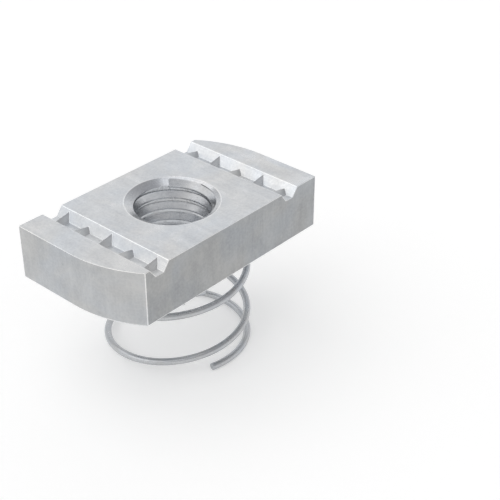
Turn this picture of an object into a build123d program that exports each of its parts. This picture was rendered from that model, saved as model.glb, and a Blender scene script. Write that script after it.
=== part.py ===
from build123d import *
import math
import os

# Spring nut for 41 mm strut: a toothed clamping plate with a tapped hole, and the coil spring
# that holds it up against the channel's lips. Millimetres. The bore's axis is Z, the plate's
# length lies along X, the toothed face looks up and the spring stands on Z = 0.

# Plate
plate_length = 35.4        # reaches across the inside of the channel
plate_width = 20.0         # passes down through the channel's 22 mm slot
plate_thickness = 8.0
edge_break = 0.25          # worn corner along the plate's lower edge

# Tapped hole, M12 x 1.75
thread_minor = 10.44
countersink = 12.9         # diameter at both faces
countersink_angle = 120.0

# Clamping grooves, one for each lip of the channel
groove_spacing = 24.4      # centre to centre
groove_width = 3.2         # across the top
groove_floor = 1.3         # across the flat bottom
groove_depth = 1.3

# Teeth that stand across each groove and bite the lip's edge
teeth_per_groove = 5
tooth_pitch = 4.1
tooth_base = 1.45
tooth_high = 1.05          # crest above the groove floor at the tooth's high end
tooth_low = 0.65           # and at its low end

# Coil spring
wire = 1.0
coil_overhang = 0.35       # how far the coil stands out past each side of the plate
spring_height = 13.8       # free
seat_arc = 201.4           # degrees of flat coil against the plate
opening_arc = 40.0         # degrees over which the pitch opens
open_arc = 505.0           # degrees at full pitch
closing_arc = 200.0        # degrees over which the pitch closes
foot_arc = 129.0           # degrees of flat coil at the foot
coil_start = -112.0        # direction of the wire's upper end, in degrees
sections_per_turn = 45

# Claws staked out of the plate's underside round the upper coil
claw_angles = (45.0, 135.0, 225.0)
claw_arc = 14.0            # degrees that each claw spans
claw_thickness = 1.0       # at the root
claw_lip = 0.28            # thickness of the lip below the wire
claw_wrap = 60.0           # degrees that the lip reaches round under the wire
claw_draft = 0.3           # lean of the claw's outer face
claw_gap = 0.04            # clearance all round the wire
punch_width = 0.9          # of the dent that the staking punch leaves
punch_depth = 0.7

seat_gap = 0.03            # between the upper coil and the plate

# Levels and places that follow
plate_bottom = spring_height + seat_gap
plate_top = plate_bottom + plate_thickness
swing_radius = plate_length / 2
coil_radius = plate_width / 2 + coil_overhang - wire / 2
minor_radius = thread_minor / 2
sink_radius = countersink / 2
sink_depth = (sink_radius - minor_radius) / math.tan(math.radians(countersink_angle / 2))
seat_level = spring_height - wire / 2
foot_level = wire / 2


def plan():
    """The plate seen from above: two square corners, and two cut to the circle it turns in."""
    half_width = plate_width / 2
    cut_x = math.sqrt(swing_radius**2 - half_width**2)
    turn = math.degrees(math.atan2(half_width, cut_x))
    with BuildSketch() as sketch:
        with BuildLine():
            for side in (1, -1):
                Line((-side * swing_radius, side * half_width), (side * cut_x, side * half_width))
                CenterArc((0, 0), swing_radius, turn + 90 * (1 - side), -turn)
                Line((side * swing_radius, 0), (side * swing_radius, -side * half_width))
        make_face()
    return sketch.sketch


def tooth(side, place, high_inside):
    """One ridge across a groove. Its crest slopes down along the groove's width."""
    near = side * (groove_spacing - groove_width) / 2
    far = side * (groove_spacing + groove_width) / 2
    floor = plate_top - groove_depth
    crests = (tooth_high, tooth_low) if high_inside else (tooth_low, tooth_high)
    half = tooth_base / 2
    ends = []
    for x, crest in zip((near, far), crests):
        ends.append(
            make_face(
                Polyline(
                    (x, place - 2 * half, floor - crest),
                    (x, place, floor + crest),
                    (x, place + 2 * half, floor - crest),
                    close=True,
                )
            )
        )
    return loft(ends)


def groove(side):
    """What is cut away for one lip of the channel: a tapered groove, less its teeth."""
    floor = plate_top - groove_depth
    spread = (groove_width - groove_floor) / 2
    top = plate_top + groove_depth
    middle = side * groove_spacing / 2
    profile = make_face(
        Polyline(
            (middle - groove_floor / 2, floor),
            (middle + groove_floor / 2, floor),
            (middle + groove_floor / 2 + 2 * spread, top),
            (middle - groove_floor / 2 - 2 * spread, top),
            close=True,
        )
    )
    cutter = extrude(Plane.XZ * profile, plate_width, both=True)
    for i in range(teeth_per_groove):
        place = (i - (teeth_per_groove - 1) / 2) * tooth_pitch
        cutter -= tooth(side, place, high_inside=i % 2 == 0)
    return cutter


def bore():
    """The hole at the thread's minor diameter, countersunk at both faces."""
    profile = make_face(
        Polyline(
            (0, plate_bottom),
            (sink_radius, plate_bottom),
            (minor_radius, plate_bottom + sink_depth),
            (minor_radius, plate_top - sink_depth),
            (sink_radius, plate_top),
            (0, plate_top),
            close=True,
        )
    )
    return revolve(Plane.XZ * profile, Axis.Z, 360)


def claw(angle):
    """A hook swaged down out of the underside, and the dent beside it."""
    reach = wire / 2 + claw_gap
    root = coil_radius + reach
    back = root + claw_thickness
    wrap = math.radians(claw_wrap)
    tip = (coil_radius + reach * math.cos(wrap), seat_level - reach * math.sin(wrap))
    middle = (coil_radius + reach * math.cos(wrap / 2), seat_level - reach * math.sin(wrap / 2))
    toe = seat_level - reach - claw_lip
    with BuildSketch(Plane.XZ) as hook:
        with BuildLine():
            Line((root, plate_bottom), (root, seat_level))
            ThreePointArc((root, seat_level), middle, tip)
            Polyline(
                tip,
                (tip[0], toe),
                (back - claw_draft, toe),
                (back, plate_bottom),
                (root, plate_bottom),
            )
        make_face()
    with BuildSketch(Plane.XZ) as dent:
        with BuildLine():
            Polyline(
                (back, plate_bottom),
                (back, plate_bottom + punch_depth),
                (back + punch_width, plate_bottom),
                close=True,
            )
        make_face()
    turned = Rot(0, 0, angle - claw_arc / 2)
    return (
        turned * revolve(hook.sketch, Axis.Z, claw_arc),
        turned * revolve(dent.sketch, Axis.Z, claw_arc),
    )


def channel_nut():
    plate = extrude(plan(), plate_thickness)
    plate = chamfer(plate.faces().sort_by(Axis.Z)[0].edges(), edge_break)
    plate = Pos(0, 0, plate_bottom) * plate
    for side in (-1, 1):
        plate -= groove(side)
    plate -= bore()
    for angle in claw_angles:
        hook, dent = claw(angle)
        plate += hook
        plate -= dent
    return plate


def drop(turned):
    """How far the wire's middle has come down after turning this many degrees."""
    pitch = (seat_level - foot_level) / (opening_arc / 2 + open_arc + closing_arc / 2)
    opening = min(max(turned - seat_arc, 0), opening_arc)
    steady = min(max(turned - seat_arc - opening_arc, 0), open_arc)
    closing = min(max(turned - seat_arc - opening_arc - open_arc, 0), closing_arc)
    return pitch * (opening**2 / (2 * opening_arc) + steady + closing - closing**2 / (2 * closing_arc))


def wire_middle(turned):
    """Where the wire's middle is after turning this many degrees down from its upper end."""
    angle = math.radians(coil_start - turned)
    x, y = coil_radius * math.cos(angle), coil_radius * math.sin(angle)
    return Vector(x, y, seat_level - drop(turned))


def coil_spring():
    """Round wire laid down a right-hand coil, flat at the seat and at the foot."""
    whole = seat_arc + opening_arc + open_arc + closing_arc + foot_arc
    count = round(whole / 360 * sections_per_turn)
    sections = []
    for i in range(count + 1):
        turned = whole * i / count
        middle = wire_middle(turned)
        along = wire_middle(turned + 1) - wire_middle(turned - 1)
        across = Plane(origin=middle, x_dir=(middle.X, middle.Y, 0), z_dir=along)
        sections.append(across * Circle(wire / 2))
    return loft(sections, ruled=True)


os.makedirs("parts", exist_ok=True)
export_step(channel_nut(), "parts/channel_nut.step")
export_step(coil_spring(), "parts/coil_spring.step")
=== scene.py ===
import math

import bmesh
import bpy
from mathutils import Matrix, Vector
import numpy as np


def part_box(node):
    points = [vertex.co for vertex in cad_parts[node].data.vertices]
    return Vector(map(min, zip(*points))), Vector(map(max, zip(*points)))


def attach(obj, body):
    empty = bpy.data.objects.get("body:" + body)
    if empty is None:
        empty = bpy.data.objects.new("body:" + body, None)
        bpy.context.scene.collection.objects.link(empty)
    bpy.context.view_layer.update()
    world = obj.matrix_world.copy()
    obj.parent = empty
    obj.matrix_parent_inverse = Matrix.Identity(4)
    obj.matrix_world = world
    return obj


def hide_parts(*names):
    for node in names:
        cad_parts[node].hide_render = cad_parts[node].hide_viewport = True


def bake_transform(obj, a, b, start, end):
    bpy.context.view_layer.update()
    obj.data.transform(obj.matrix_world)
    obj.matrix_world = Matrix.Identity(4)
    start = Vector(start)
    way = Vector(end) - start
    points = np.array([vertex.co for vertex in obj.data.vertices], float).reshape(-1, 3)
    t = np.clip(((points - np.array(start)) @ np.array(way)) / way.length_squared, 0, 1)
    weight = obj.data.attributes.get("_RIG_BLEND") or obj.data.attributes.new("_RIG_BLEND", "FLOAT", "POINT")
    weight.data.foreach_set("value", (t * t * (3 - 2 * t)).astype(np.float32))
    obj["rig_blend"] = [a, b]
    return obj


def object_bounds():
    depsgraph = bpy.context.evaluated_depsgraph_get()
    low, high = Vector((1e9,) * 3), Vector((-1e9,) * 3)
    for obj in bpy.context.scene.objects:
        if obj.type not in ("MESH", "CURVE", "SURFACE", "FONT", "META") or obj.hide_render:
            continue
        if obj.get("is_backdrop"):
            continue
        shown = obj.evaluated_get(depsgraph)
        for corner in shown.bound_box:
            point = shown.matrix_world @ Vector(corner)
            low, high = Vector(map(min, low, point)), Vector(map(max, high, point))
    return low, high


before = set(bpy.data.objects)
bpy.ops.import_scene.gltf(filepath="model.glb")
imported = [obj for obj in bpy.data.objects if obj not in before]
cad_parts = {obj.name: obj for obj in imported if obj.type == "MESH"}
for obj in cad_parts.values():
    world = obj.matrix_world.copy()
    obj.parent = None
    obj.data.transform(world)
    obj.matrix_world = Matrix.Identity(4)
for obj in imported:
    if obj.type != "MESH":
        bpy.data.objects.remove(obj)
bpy.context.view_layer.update()        # the nut and its spring, fixed, in metres
scene = bpy.context.scene


def newObject(name, data):
    piece = bpy.data.objects.new(name, data)
    scene.collection.objects.link(piece)
    return piece


def meshFrom(name, points, faces):
    mesh = bpy.data.meshes.new(name)
    mesh.from_pydata(points, [], faces)
    mesh.update()
    return mesh


def ringFaces(first, steps):
    # one band of faces between a ring of points and the next
    around = [(first + k, first + (k + 1) % steps) for k in range(steps)]
    return [(a, b, b + steps, a + steps) for a, b in around]


def applyModifiers(piece):
    # freeze the stack, so that what is seen is the mesh itself
    depsgraph = bpy.context.evaluated_depsgraph_get()
    finished = bpy.data.meshes.new_from_object(piece.evaluated_get(depsgraph))
    piece.modifiers.clear()
    piece.data = finished


def weld(piece, distance):
    work = bmesh.new()
    work.from_mesh(piece.data)
    bmesh.ops.remove_doubles(work, verts=work.verts, dist=distance)
    bmesh.ops.dissolve_degenerate(work, edges=work.edges, dist=distance)
    work.to_mesh(piece.data)
    work.free()


def cutAway(piece, cutter, material):
    # boolean difference; the faces that it leaves take the material
    cutter.data.materials.append(material)
    cut = piece.modifiers.new("cut", "BOOLEAN")
    cut.operation = "DIFFERENCE"
    cut.solver = "EXACT"
    cut.material_mode = "TRANSFER"
    cut.object = cutter
    applyModifiers(piece)
    bpy.data.objects.remove(cutter)


# shader nodes
def feed(tree, socket, value):
    # a link from another node's socket, or a fixed value
    if isinstance(value, bpy.types.NodeSocket):
        tree.links.new(value, socket)
    else:
        socket.default_value = value


def addNode(tree, kind, settings=None, inputs=None):
    node = tree.nodes.new("ShaderNode" + kind)
    for name, value in (settings or {}).items():
        setattr(node, name, value)
    for name, value in (inputs or {}).items():
        feed(tree, node.inputs[name], value)
    return node


def addMath(tree, operation, *values):
    node = addNode(tree, "Math", {"operation": operation})
    for socket, value in zip(node.inputs, values):
        feed(tree, socket, value)
    return node.outputs[0]


def addShares(tree, *parts):
    # the sum of several values, each times its own weight
    total, *others = [addMath(tree, "MULTIPLY", value, weight) for value, weight in parts]
    for share in others:
        total = addMath(tree, "ADD", total, share)
    return total


def remap(tree, value, source, target=(0.0, 1.0)):
    node = addNode(tree, "MapRange", inputs={
        "Value": value, "From Min": source[0], "From Max": source[1],
        "To Min": target[0], "To Max": target[1]})
    return node.outputs["Result"]


def mixColours(tree, factor, first, second, blend="MIX"):
    node = addNode(tree, "Mix", {"data_type": "RGBA", "blend_type": blend})
    for name, value in (("Factor", factor), ("A", first), ("B", second)):
        socket = next(s for s in node.inputs if s.name == name and s.enabled)
        feed(tree, socket, (*value, 1) if isinstance(value, tuple) else value)
    return next(s for s in node.outputs if s.enabled)


def newGroup(name, inputs, outputs):
    tree = bpy.data.node_groups.new(name, "ShaderNodeTree")
    for socket, value in inputs.items():
        kind = "NodeSocketVector" if isinstance(value, tuple) else "NodeSocketFloat"
        added = tree.interface.new_socket(name=socket, in_out="INPUT", socket_type=kind)
        added.default_value = value
    for socket in outputs:
        tree.interface.new_socket(name=socket, in_out="OUTPUT", socket_type="NodeSocketFloat")
    given = tree.nodes.new("NodeGroupInput").outputs
    made = tree.nodes.new("NodeGroupOutput").inputs
    return tree, given, made


def useGroup(tree, group, inputs):
    node = tree.nodes.new("ShaderNodeGroup")
    node.node_tree = group
    for name, value in inputs.items():
        feed(tree, node.inputs[name], value)
    return node.outputs


# clouding of the zinc: wide soft patches, fine crystals between them, and a faint warm and cool tint
bloomLook = {
    "patchScale": 260.0,
    "patch": {"Detail": 3.0, "Roughness": 0.6, "Distortion": 0.4},
    "patchShare": 0.7,
    "crystalScale": 3200.0,
    "crystalSoftness": 0.7,
    "grain": {"Detail": 4.0, "Roughness": 0.65},
    "grainScale": 1.7,            # times the crystals' scale
    "grainShare": 0.6,
    "tint": {"Detail": 2.0, "Roughness": 0.5, "Distortion": 1.2},
    "tintScale": 0.45,            # times the patches' scale
    "tintRange": (0.35, 0.65),
}


def zincBloomGroup(look):
    tree, given, made = newGroup(
        "zincBloom",
        {"Place": (0, 0, 0), "Patch Scale": look["patchScale"], "Crystal Scale": look["crystalScale"]},
        ["Tone", "Tint", "Height"])
    place = given["Place"]
    tintScale = addMath(tree, "MULTIPLY", given["Patch Scale"], look["tintScale"])
    grainScale = addMath(tree, "MULTIPLY", given["Crystal Scale"], look["grainScale"])
    patch = addNode(tree, "TexNoise", inputs={
        "Vector": place, "Scale": given["Patch Scale"], **look["patch"]})
    tint = addNode(tree, "TexNoise", inputs={"Vector": place, "Scale": tintScale, **look["tint"]})
    grain = addNode(tree, "TexNoise", inputs={"Vector": place, "Scale": grainScale, **look["grain"]})
    crystal = addNode(tree, "TexVoronoi", {"feature": "SMOOTH_F1"}, {
        "Vector": place, "Scale": given["Crystal Scale"], "Smoothness": look["crystalSoftness"]})
    grains = addMath(tree, "MULTIPLY", crystal.outputs["Distance"], grain.outputs["Fac"])
    tone = addShares(tree, (patch.outputs["Fac"], look["patchShare"]), (grains, look["grainShare"]))
    feed(tree, made["Tone"], tone)
    feed(tree, made["Tint"], remap(tree, tint.outputs["Fac"], look["tintRange"]))
    feed(tree, made["Height"], grain.outputs["Fac"])
    return tree


# parallel marks from rolling, shearing or drawing, along whichever axis has the small stretch
linesLook = {
    "broad": {"Detail": 2.0, "Roughness": 0.5},
    "broadScale": 0.35,           # times the lines' scale
    "fine": {"Detail": 6.0, "Roughness": 0.7},
    "fineScale": 1.6,
}


def dragLinesGroup(look):
    tree, given, made = newGroup(
        "dragLines", {"Place": (0, 0, 0), "Stretch": (1, 1, 1), "Scale": 1.0}, ["Tone"])
    drawn = addNode(tree, "Mapping", inputs={"Vector": given["Place"], "Scale": given["Stretch"]})
    lines = []
    for kind in ("broad", "fine"):
        scale = addMath(tree, "MULTIPLY", given["Scale"], look[kind + "Scale"])
        line = addNode(tree, "TexNoise", inputs={
            "Vector": drawn.outputs["Vector"], "Scale": scale, **look[kind]})
        lines.append(line.outputs["Fac"])
    both = addMath(tree, "ADD", *lines)
    feed(tree, made["Tone"], addMath(tree, "DIVIDE", both, len(lines)))
    return tree


# small knocks that parts give each other in the plating barrel
nicksLook = {
    "spacingScale": 420.0,
    "size": 0.16,                 # of the space between them
    "wobble": {"Scale": 1900.0, "Detail": 2.0},
    "wobbleReach": 0.0007,
    "chanceSpread": 7.0,          # turns each cell's own colour into a chance from 0 to 1
    "struckRange": (0.62, 0.66),  # only the cells whose chance lies above this are struck
}


def barrelNicksGroup(look):
    tree, given, made = newGroup(
        "barrelNicks",
        {"Place": (0, 0, 0), "Spacing Scale": look["spacingScale"], "Size": look["size"]}, ["Mask"])
    wobble = addNode(tree, "TexNoise", inputs={"Vector": given["Place"], **look["wobble"]})
    bent = addNode(tree, "VectorMath", {"operation": "MULTIPLY_ADD"}, {
        0: wobble.outputs["Color"], 1: (look["wobbleReach"],) * 3, 2: given["Place"]})
    cells = addNode(tree, "TexVoronoi", inputs={
        "Vector": bent.outputs["Vector"], "Scale": given["Spacing Scale"], "Randomness": 1.0})
    hollow = addNode(tree, "MapRange", {"interpolation_type": "SMOOTHSTEP"}, {
        "Value": cells.outputs["Distance"], "From Max": given["Size"], "To Min": 1.0, "To Max": 0.0})
    chance = addMath(tree, "FRACT", addMath(tree, "MULTIPLY", cells.outputs["Color"], look["chanceSpread"]))
    struck = remap(tree, chance, look["struckRange"])
    feed(tree, made["Mask"], addMath(tree, "MULTIPLY", hollow.outputs["Result"], struck))
    return tree


zincBloom = zincBloomGroup(bloomLook)
dragLines = dragLinesGroup(linesLook)
barrelNicks = barrelNicksGroup(nicksLook)

# the plate's finishes: the metal's colours, lighter on the rounded edges as a painted highlight, and how much
# darker its ends and sheared sides are, partly a duller sheared finish and partly painted shade
finishes = {
    "plateFace": {
        "light": (0.74, 0.75, 0.765), "dark": (0.59, 0.605, 0.63), "roughLow": 0.27, "roughHigh": 0.42,
        "stretch": (1.0, 0.035, 1.0), "lineScale": 2600.0, "lineBump": 0.10, "grainBump": 0.10,
        "nickBump": 0.25, "endDullAndShade": 0.73, "endRough": 0.04, "shearDullAndShade": 0.58, "shearRough": 0.08},
    # the rounded edges: lighter colours than the faces, a painted highlight along every edge; their lower
    # roughness is the edges' own
    "roundedEdgeHighlight": {
        "light": (0.88, 0.885, 0.89), "dark": (0.76, 0.77, 0.78), "roughLow": 0.20, "roughHigh": 0.32,
        "stretch": (0.3, 0.3, 0.3), "lineScale": 2600.0, "lineBump": 0.04, "grainBump": 0.06,
        "nickBump": 0.3, "endDullAndShade": 0.96, "endRough": 0.0, "shearDullAndShade": 0.92, "shearRough": 0.0},
    "tappedThread": {
        "light": (0.70, 0.71, 0.73), "dark": (0.50, 0.51, 0.54), "roughLow": 0.20, "roughHigh": 0.34,
        "stretch": (0.05, 0.05, 1.0), "lineScale": 5200.0, "lineBump": 0.08, "grainBump": 0.04,
        "nickBump": 0.0, "endDullAndShade": 1.0, "endRough": 0.0, "shearDullAndShade": 1.0, "shearRough": 0.0},
}
# what all of them share
steelLook = {
    "cool": (0.965, 0.985, 1.0),
    "warm": (1.0, 0.99, 0.965),
    "shearStretch": (1.0, 1.0, 0.07),
    "shearScale": 2200.0,
    "uprightRange": (0.10, 0.30),     # a face stands upright where its normal's Z is under this
    "longSideRange": (0.70, 0.90),    # and is a long side where its normal's Y is over this
    "bloomShare": 0.75,
    "marksShare": 0.55,
    "nicksShare": -0.25,
    "toneRange": (0.40, 0.78),
    "bumpStrength": 0.35,
    "bumpDistance": 0.0001,
}


def newMetal(name):
    material = bpy.data.materials.new(name)
    material.use_nodes = True
    surface = material.node_tree.nodes["Principled BSDF"].inputs
    surface["Metallic"].default_value = 1.0
    return material, material.node_tree, surface


def zincColour(tree, tone, tint, look):
    # from dark to light metal, with a breath of cool or warm
    colour = mixColours(tree, tone, look["dark"], look["light"])
    tint = mixColours(tree, tint, steelLook["cool"], steelLook["warm"])
    return mixColours(tree, 1.0, colour, tint, "MULTIPLY")


def platedSteel(name, look):
    material, tree, surface = newMetal(name)
    place = addNode(tree, "TexCoord").outputs["Object"]
    bloom = useGroup(tree, zincBloom, {"Place": place})
    rolled = useGroup(tree, dragLines, {
        "Place": place, "Stretch": look["stretch"], "Scale": look["lineScale"]})
    sheared = useGroup(tree, dragLines, {
        "Place": place, "Stretch": steelLook["shearStretch"], "Scale": steelLook["shearScale"]})
    nicks = useGroup(tree, barrelNicks, {"Place": place})

    # the ends are trimmed in the press, and the long sides sheared off the bar: rougher, streaked up and
    # down, and darkened, partly as a duller finish and partly as painted shade, the long sides most, so that
    # the sides read darker than the top
    normal = addNode(tree, "NewGeometry").outputs["Normal"]
    facing = addNode(tree, "SeparateXYZ", inputs={"Vector": normal}).outputs
    upright = remap(tree, addMath(tree, "ABSOLUTE", facing["Z"]), steelLook["uprightRange"], (1.0, 0.0))
    sideways = remap(tree, addMath(tree, "ABSOLUTE", facing["Y"]), steelLook["longSideRange"])
    longSide = addMath(tree, "MULTIPLY", upright, sideways)
    marks = addNode(tree, "Mix", {"data_type": "FLOAT"}, {
        "Factor": upright, "A": rolled["Tone"], "B": sheared["Tone"]}).outputs["Result"]

    tone = addShares(tree, (bloom["Tone"], steelLook["bloomShare"]), (marks, steelLook["marksShare"]),
                     (nicks["Mask"], steelLook["nicksShare"]))
    tone = remap(tree, tone, steelLook["toneRange"])
    # painted shade: the colour is darkened on upright faces, and more on the long sides
    dulledAndShaded = addShares(tree, (upright, 1 - look["endDullAndShade"]), (longSide, look["endDullAndShade"] - look["shearDullAndShade"]))
    colour = zincColour(tree, tone, bloom["Tint"], look)
    unshadedShare = addMath(tree, "SUBTRACT", 1.0, dulledAndShaded)
    feed(tree, surface["Base Color"], mixColours(tree, unshadedShare, (0, 0, 0), colour))

    rough = remap(tree, tone, (0.0, 1.0), (look["roughHigh"], look["roughLow"]))
    rougher = addShares(tree, (upright, look["endRough"]), (longSide, look["shearRough"]))
    feed(tree, surface["Roughness"], addMath(tree, "ADD", rough, rougher))

    height = addShares(tree, (marks, look["lineBump"]), (bloom["Height"], look["grainBump"]),
                       (nicks["Mask"], -look["nickBump"]))
    bump = addNode(tree, "Bump", inputs={
        "Height": height, "Strength": steelLook["bumpStrength"], "Distance": steelLook["bumpDistance"]})
    feed(tree, surface["Normal"], bump.outputs["Normal"])
    return material


plateFace = platedSteel("plateFace", finishes["plateFace"])
roundedEdgeHighlight = platedSteel("roundedEdgeHighlight", finishes["roundedEdgeHighlight"])
tappedThread = platedSteel("tappedThread", finishes["tappedThread"])
print("plated steel finishes made")


# clamping plate; lengths in metres, angles in degrees
plateLook = {
    "thickness": 0.008,
    "grooveOffset": 0.0122,       # from the bore's axis to the middle of a groove
    "grooveWidth": 0.0032,        # across the top
    "grooveFloor": 0.0013,        # across the flat bottom
    "grooveDepth": 0.0013,
    "toothPitch": 0.0041,
    "solidCrest": (0.00105, 0.00065),   # height of a tooth's crest at its high and low ends, in the solid
    "leanCrest": (0.00115, 0.0005),     # and as it is seen: the crests lean more
    "edgeRound": 0.00012,         # barrel plating leaves no sharp edge
    "toothRound": 0.5,            # share of that on the teeth and the groove's floor
    "roundSegments": 2,
    "roundAngle": 28,             # only sharper edges are rounded
    "dentDepth": 0.00072,
    "dentReach": 0.0125,          # from the bore's axis
    "boreSteps": 96,
    "minorDiameter": 0.01045,     # a hair over the drilled hole, to leave a clean round wall
    "sinkDiameter": 0.01292,
    "sinkAngle": 120,
    "sinkPast": 0.001,            # the countersinks' cutter runs on past both faces
    "threadPitch": 0.00175,
    "threadMajor": 0.01205,
    "tapCore": 0.0103,
    "rootFlat": 0.00022,
    "flankAngle": 30,
    "turnsOutside": 1.3,          # the tap runs past both faces
    "joinWithin": 0.000001,       # the solid's own doubled points
    "flatWithin": 0.6,            # faces at a smaller angle than this are joined into one
    "flushWithin": 0.00002,
    "weldWithin": 0.000004,       # slivers that the cuts leave
    "sharpAngle": 32,             # shading is smooth across flatter edges
}


def boreCutter(look, low, high):
    # the hole and its two countersinks, turned as one profile
    minor, sink = look["minorDiameter"] / 2, look["sinkDiameter"] / 2
    slope = math.tan(math.radians(look["sinkAngle"] / 2))
    depth, past = (sink - minor) / slope, look["sinkPast"]
    outline = [(low - past, sink + past * slope), (low + depth, minor),
               (high - depth, minor), (high + past, sink + past * slope)]
    steps = look["boreSteps"]
    points, faces = [], []
    for level, radius in outline:
        for step in range(steps):
            angle = 2 * math.pi * step / steps
            points.append((radius * math.cos(angle), radius * math.sin(angle), level))
    for ring in range(len(outline) - 1):
        faces += ringFaces(ring * steps, steps)
    faces.append(tuple(reversed(range(steps))))
    faces.append(tuple(range(len(points) - steps, len(points))))
    return newObject("boreCutter", meshFrom("boreCutter", points, faces))


def tapCutter(look, low, high):
    # a closed screw: one thread profile walked up a helix, then capped
    pitch, steps = look["threadPitch"], look["boreSteps"]
    core, major = look["tapCore"] / 2, look["threadMajor"] / 2
    flank = (major - core) * math.tan(math.radians(look["flankAngle"]))
    land = pitch - look["rootFlat"] - 2 * flank
    profile = [(0, core), (land, core), (land + flank, major), (land + flank + look["rootFlat"], major)]
    count = len(profile)
    start = low - look["turnsOutside"] * pitch
    turns = math.ceil((high - low) / pitch + 2 * look["turnsOutside"])
    columns = steps * turns
    points = []
    for column in range(columns + steps + 1):
        angle = 2 * math.pi * column / steps
        for rise, radius in profile:
            level = start + pitch * column / steps + rise
            points.append((radius * math.cos(angle), radius * math.sin(angle), level))

    def at(column, k):
        # past its last point, the profile goes on as the same column one turn higher
        return (column + steps) * count if k == count else column * count + k

    faces = []
    for column in range(columns):
        for k in range(count):
            faces.append((at(column, k), at(column + 1, k), at(column + 1, k + 1), at(column, k + 1)))
    lowerRim = [at(step, 0) for step in range(steps)] + [at(0, k) for k in range(count, 0, -1)]
    upperRim = [at(columns + step, 0) for step in range(steps)]
    upperRim += [at(columns, k) for k in range(count, 0, -1)]
    lowerTip, upperTip = len(points), len(points) + 1
    points += [(0, 0, start), (0, 0, start + pitch * (turns + 1))]
    faces += [(lowerTip, b, a) for a, b in zip(lowerRim, lowerRim[1:] + lowerRim[:1])]
    faces += [(upperTip, a, b) for a, b in zip(upperRim, upperRim[1:] + upperRim[:1])]
    mesh = meshFrom("tapCutter", points, faces)
    work = bmesh.new()
    work.from_mesh(mesh)
    loose = [vert for vert in work.verts if not vert.link_faces]
    bmesh.ops.delete(work, geom=loose, context="VERTS")
    work.to_mesh(mesh)
    work.free()
    return newObject("tapCutter", mesh)


def leanTeeth(work, look, high):
    # tilt each crest further across its groove; a point on a groove's wall stays on that wall
    base, middle = high - look["grooveDepth"], look["grooveOffset"]
    halfFloor, halfTop = look["grooveFloor"] / 2, look["grooveWidth"] / 2
    taper = (halfTop - halfFloor) / look["grooveDepth"]
    near = look["flushWithin"]

    def crestAt(ends, aside, highInside):
        share = (aside + halfTop) / (2 * halfTop)
        inner, outer = ends if highInside else reversed(ends)
        return inner + (outer - inner) * share

    moved = 0
    for vert in work.verts:
        aside = abs(vert.co.x) - middle
        if not (base + near < vert.co.z < high - near and abs(aside) < halfTop + near):
            continue
        highInside = round(vert.co.y / look["toothPitch"]) % 2 == 0
        onWall = abs(abs(aside) - halfFloor - (vert.co.z - base) * taper) < near
        rise = (vert.co.z - base) / crestAt(look["solidCrest"], aside, highInside)
        height = rise * crestAt(look["leanCrest"], aside, highInside)
        vert.co.z = base + height
        if onWall:
            wall = math.copysign(halfFloor + height * taper, aside)
            vert.co.x = math.copysign(middle + wall, vert.co.x)
        moved += 1
    print("crests leaned:", moved, "points")


def chooseRoundedEdges(piece, look, low, high):
    # every sharp edge but those in the underside, where the punch's dents run close to the rim,
    # and the hole's own rim, which the tap cuts through
    near = look["flushWithin"]

    def inUnderside(point):
        return abs(point.z - low) < near

    def inDent(point):
        return low - near < point.z < low + look["dentDepth"] and point.xy.length < look["dentReach"]

    def inHole(point):
        return point.xy.length < look["minorDiameter"] / 2 + near

    def inGroove(point):
        return point.z < high - near and abs(abs(point.x) - look["grooveOffset"]) < look["grooveWidth"] / 2

    work = bmesh.new()
    work.from_mesh(piece.data)
    weight = work.edges.layers.float.new("bevel_weight_edge")
    for edge in work.edges:
        ends = [vert.co for vert in edge.verts]
        sharp = edge.is_manifold and edge.calc_face_angle() > math.radians(look["roundAngle"])
        kept = any(all(map(place, ends)) for place in (inUnderside, inDent, inHole))
        share = look["toothRound"] if all(map(inGroove, ends)) else 1.0
        edge[weight] = share if sharp and not kept else 0.0
    work.to_mesh(piece.data)
    work.free()


def buildPlate(look):
    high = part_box("channel_nut")[1][2]
    low = high - look["thickness"]
    mesh = bpy.data.meshes.new("clampingPlate")
    work = bmesh.new()
    work.from_mesh(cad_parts["channel_nut"].data)
    bmesh.ops.remove_doubles(work, verts=work.verts, dist=look["joinWithin"])
    bmesh.ops.dissolve_limit(work, angle_limit=math.radians(look["flatWithin"]),
                             verts=work.verts, edges=work.edges)
    for face in work.faces:
        face.material_index = 0
    leanTeeth(work, look, high)
    work.to_mesh(mesh)
    work.free()
    mesh.materials.append(plateFace)
    mesh.materials.append(roundedEdgeHighlight)
    piece = newObject("clampingPlate", mesh)

    cutAway(piece, boreCutter(look, low, high), tappedThread)
    chooseRoundedEdges(piece, look, low, high)
    rounding = piece.modifiers.new("rounding", "BEVEL")
    rounding.width = look["edgeRound"]
    rounding.segments = look["roundSegments"]
    rounding.limit_method = "WEIGHT"
    # the rounding's faces take the lighter edge finish, a painted highlight
    rounding.material = piece.data.materials.find("roundedEdgeHighlight")
    applyModifiers(piece)
    cutAway(piece, tapCutter(look, low, high), tappedThread)
    weld(piece, look["weldWithin"])

    piece.data.shade_smooth()
    piece.data.set_sharp_from_angle(angle=math.radians(look["sharpAngle"]))
    level = piece.modifiers.new("level", "WEIGHTED_NORMAL")
    level.keep_sharp = True
    applyModifiers(piece)
    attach(piece, "nut")
    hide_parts("channel_nut")
    print("plate:", len(piece.data.polygons), "faces")


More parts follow.
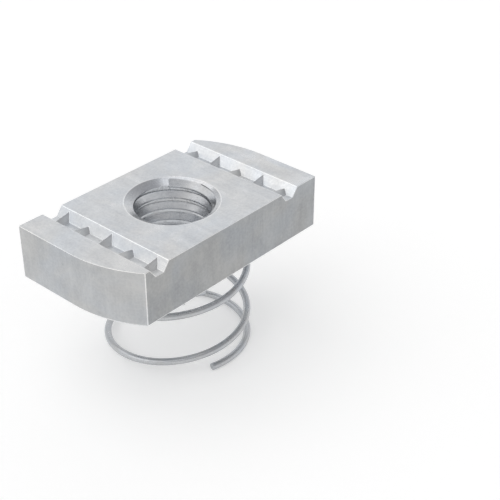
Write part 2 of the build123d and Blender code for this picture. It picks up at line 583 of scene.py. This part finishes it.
# coil spring; lengths in metres, angles and arcs in degrees
springLook = {
    "wire": 0.001,
    "seatArc": 201.4,             # flat against the plate
    "openingArc": 40,
    "openArc": 505,
    "closingArc": 200,
    "footArc": 129,               # flat on the channel's floor
    "startAngle": -112,
    "degreesPerRing": 3,
    "ringPoints": 24,
    "endRound": 0.00006,
    "curlShare": 0.3,             # how far along that rounding its middle ring stands
    "sharpAngle": 40,
    "light": (0.62, 0.63, 0.65),
    "dark": (0.41, 0.425, 0.45),
    "roughLow": 0.22,
    "roughHigh": 0.36,
    "patchScale": 420.0,
    "crystalScale": 4200.0,
    "lineStretch": (0.03, 1, 1),  # fine lines run along the wire
    "lineScale": 7000.0,
    "linesShare": 0.6,
    "bloomShare": 0.6,
    "toneRange": (0.3, 0.85),
    "bumpStrength": 0.25,
    "bumpDistance": 0.00003,
}


def coilDrop(look, turned, fall):
    # how far the wire has come down, with a pitch that opens and closes smoothly
    pitch = fall / (look["openingArc"] / 2 + look["openArc"] + look["closingArc"] / 2)
    opening = min(max(turned - look["seatArc"], 0), look["openingArc"])
    steady = min(max(turned - look["seatArc"] - look["openingArc"], 0), look["openArc"])
    closing = turned - look["seatArc"] - look["openingArc"] - look["openArc"]
    closing = min(max(closing, 0), look["closingArc"])
    return pitch * (opening ** 2 / (2 * look["openingArc"]) + steady
                    + closing - closing ** 2 / (2 * look["closingArc"]))


def drawnWire(look):
    # zinc on drawn wire
    material, tree, surface = newMetal("drawnWire")

    # the map's length and turn become a place on a straight wire, with no seam
    wireMap = addNode(tree, "UVMap", {"uv_map": "wireMap"}).outputs["UV"]
    along = addNode(tree, "SeparateXYZ", inputs={"Vector": wireMap}).outputs
    turn = addMath(tree, "MULTIPLY", along["Y"], 2 * math.pi)
    aside, upward = [addMath(tree, "MULTIPLY", addMath(tree, operation, turn), look["wire"] / 2)
                     for operation in ("COSINE", "SINE")]
    place = addNode(tree, "CombineXYZ", inputs={"X": along["X"], "Y": aside, "Z": upward}).outputs["Vector"]

    bloom = useGroup(tree, zincBloom, {
        "Place": place, "Patch Scale": look["patchScale"], "Crystal Scale": look["crystalScale"]})
    drawn = useGroup(tree, dragLines, {
        "Place": place, "Stretch": look["lineStretch"], "Scale": look["lineScale"]})
    tone = addShares(tree, (drawn["Tone"], look["linesShare"]), (bloom["Tone"], look["bloomShare"]))
    tone = remap(tree, tone, look["toneRange"])
    feed(tree, surface["Base Color"], zincColour(tree, tone, bloom["Tint"], look))
    feed(tree, surface["Roughness"], remap(tree, tone, (0.0, 1.0), (look["roughHigh"], look["roughLow"])))
    bump = addNode(tree, "Bump", inputs={
        "Height": drawn["Tone"], "Strength": look["bumpStrength"], "Distance": look["bumpDistance"]})
    feed(tree, surface["Normal"], bump.outputs["Normal"])
    return material


def buildSpring(look):
    low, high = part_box("coil_spring")
    half = look["wire"] / 2
    radius = (high[0] - low[0]) / 2 - half
    top, foot = high[2] - half, low[2] + half
    whole = sum(look[arc] for arc in ("seatArc", "openingArc", "openArc", "closingArc", "footArc"))

    def middle(turned):
        angle = math.radians(look["startAngle"] - turned)
        return Vector((radius * math.cos(angle), radius * math.sin(angle),
                       top - coilDrop(look, turned, top - foot)))

    # rings of points along the wire; two smaller ones round each cut end's rim
    count = round(whole / look["degreesPerRing"])
    curl, share = look["endRound"], look["curlShare"]
    curlArc = math.degrees(curl / radius)
    rings = [(0, 1 - curl / half), (share * curlArc, 1 - share * curl / half), (curlArc, 1)]
    rings += [(whole * i / count, 1) for i in range(1, count)]
    rings += [(whole - turned, size) for turned, size in reversed(rings[:3])]
    steps = look["ringPoints"]
    points, shares = [], []
    for turned, size in rings:
        centre = middle(turned)
        along = (middle(turned + 0.5) - middle(turned - 0.5)).normalized()
        outward = Vector((centre.x, centre.y, 0)).normalized()
        upward = along.cross(outward)
        for k in range(steps):
            turn = 2 * math.pi * k / steps
            points.append(centre + (outward * math.cos(turn) + upward * math.sin(turn)) * half * size)
            shares.append((top - centre.z) / (top - foot))
    faces = [tuple(range(steps))]
    for ring in range(len(rings) - 1):
        faces += ringFaces(ring * steps, steps)
    faces.append(tuple(reversed(range(len(points) - steps, len(points)))))
    mesh = meshFrom("coilSpring", points, faces)
    work = bmesh.new()
    work.from_mesh(mesh)
    bmesh.ops.recalc_face_normals(work, faces=work.faces)
    work.to_mesh(mesh)
    work.free()

    # how far along the wire and how far round it each corner lies, for the drawn lines
    wireMap = mesh.uv_layers.new(name="wireMap")
    for polygon in mesh.polygons:
        corners = [divmod(mesh.loops[i].vertex_index, steps) for i in polygon.loop_indices]
        around = [k for ring, k in corners]
        wraps = max(around) - min(around) == steps - 1 and len(around) == 4
        for i, (ring, k) in zip(polygon.loop_indices, corners):
            length = math.radians(rings[ring][0]) * radius
            wireMap.data[i].uv = (length, (steps if wraps and k == 0 else k) / steps)
    mesh.shade_smooth()
    mesh.set_sharp_from_angle(angle=math.radians(look["sharpAngle"]))
    mesh.materials.append(drawnWire(look))
    piece = newObject("coilSpring", mesh)
    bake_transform(piece, "nut", "spring", start=(0, 0, top), end=(0, 0, foot))
    # each ring moves as one, in step with its own height, so the wire stays round as the coil closes
    mesh.attributes["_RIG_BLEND"].data.foreach_set("value", shares)
    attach(piece, "nut")
    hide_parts("coil_spring")
    print("spring:", len(mesh.polygons), "faces")


buildPlate(plateLook)
buildSpring(springLook)


# floor, light and camera; lengths in metres, angles in degrees
studio = {
    "floorSize": 4,
    "floorColour": (0.82, 0.82, 0.82, 1),
    "floorRoughness": 0.9,
    "floorLift": 0.33,
    "worldLight": 0.65,
    "horizon": (1, 1, 1),
    "ceiling": (0.42, 0.42, 0.43),
    "ceilingRange": (0.05, 0.75),     # how high one looks up, from the horizon's colour to the ceiling's
    "skyLight": {"from": (-0.32, 0.24, 0.75), "strength": 1.0, "spread": 80},
    "backSoftBox": {"place": (0.38, 0.34, 0.42), "size": (0.5, 0.35), "watts": 0.19},
    "azimuth": -48.292,
    "elevation": 32.535,
    "distance": 0.16264,
    "asideX": 0.010276,
    "asideY": 0.011785,
    "lens": 82.09,                    # millimetres, and so is the sensor
    "sensor": 36,
    "nearClip": 0.01,
}


def seenDirectly(tree):
    # 1 for what the camera sees straight, in a reflection or through glass
    path = addNode(tree, "LightPath").outputs
    mirrored = addMath(tree, "MAXIMUM", path["Is Camera Ray"], path["Is Glossy Ray"])
    return addMath(tree, "MAXIMUM", mirrored, path["Is Transmission Ray"])


def buildFloor(look):
    half = look["floorSize"] / 2
    corners = [(-half, -half, 0), (half, -half, 0), (half, half, 0), (-half, half, 0)]
    mesh = meshFrom("floor", corners, [(0, 1, 2, 3)])
    material = bpy.data.materials.new("paleFloor")
    material.use_nodes = True
    tree = material.node_tree
    surface = tree.nodes["Principled BSDF"].inputs
    surface["Base Color"].default_value = look["floorColour"]
    surface["Roughness"].default_value = look["floorRoughness"]
    surface["Emission Color"].default_value = (1, 1, 1, 1)
    feed(tree, surface["Emission Strength"], addMath(tree, "MULTIPLY", seenDirectly(tree), look["floorLift"]))
    mesh.materials.append(material)
    newObject("floor", mesh)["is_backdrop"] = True


def buildWorld(look):
    # plain even light; the camera and the metal see a pale horizon under a greyer ceiling
    world = bpy.data.worlds.new("studio")
    scene.world = world
    world.use_nodes = True
    tree = world.node_tree
    tree.nodes.clear()
    view = addNode(tree, "TexCoord").outputs["Generated"]
    upward = addNode(tree, "SeparateXYZ", inputs={"Vector": view}).outputs["Z"]
    rise = remap(tree, upward, look["ceilingRange"])
    light = addNode(tree, "Background", inputs={"Strength": look["worldLight"]})
    seen = addNode(tree, "Background", inputs={
        "Color": mixColours(tree, rise, look["horizon"], look["ceiling"])})
    mix = addNode(tree, "MixShader", inputs={
        "Fac": seenDirectly(tree), 1: light.outputs[0], 2: seen.outputs[0]})
    addNode(tree, "OutputWorld", inputs={"Surface": mix.outputs[0]})


def aim(piece, place, target):
    piece.location = place
    piece.rotation_euler = (Vector(target) - Vector(place)).to_track_quat("-Z", "Y").to_euler()


def buildLamps(look):
    sky = bpy.data.lights.new("skyLight", "SUN")
    sky.energy = look["skyLight"]["strength"]
    sky.angle = math.radians(look["skyLight"]["spread"])
    aim(newObject("skyLight", sky), look["skyLight"]["from"], (0, 0, 0))
    box = bpy.data.lights.new("backSoftBox", "AREA")
    box.shape = "RECTANGLE"
    box.size, box.size_y = look["backSoftBox"]["size"]
    box.energy = look["backSoftBox"]["watts"]
    aim(newObject("backSoftBox", box), look["backSoftBox"]["place"], (0, 0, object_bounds()[1][2] / 2))


def buildCamera(look):
    turn, tilt = math.radians(look["azimuth"]), math.radians(look["elevation"])
    back = Vector((math.sin(turn) * math.cos(tilt), -math.cos(turn) * math.cos(tilt), math.sin(tilt)))
    right = Vector((math.cos(turn), math.sin(turn), 0))
    up = back.cross(right)
    data = bpy.data.cameras.new("camera")
    data.lens = look["lens"]
    data.sensor_width = look["sensor"]
    data.clip_start = look["nearClip"]
    camera = newObject("camera", data)
    camera.location = back * look["distance"] + right * look["asideX"] + up * look["asideY"]
    camera.rotation_euler = back.to_track_quat("Z", "Y").to_euler()
    scene.camera = camera


buildFloor(studio)
buildWorld(studio)
buildLamps(studio)
buildCamera(studio)
scene.view_settings.view_transform = "Standard"
print("studio made")
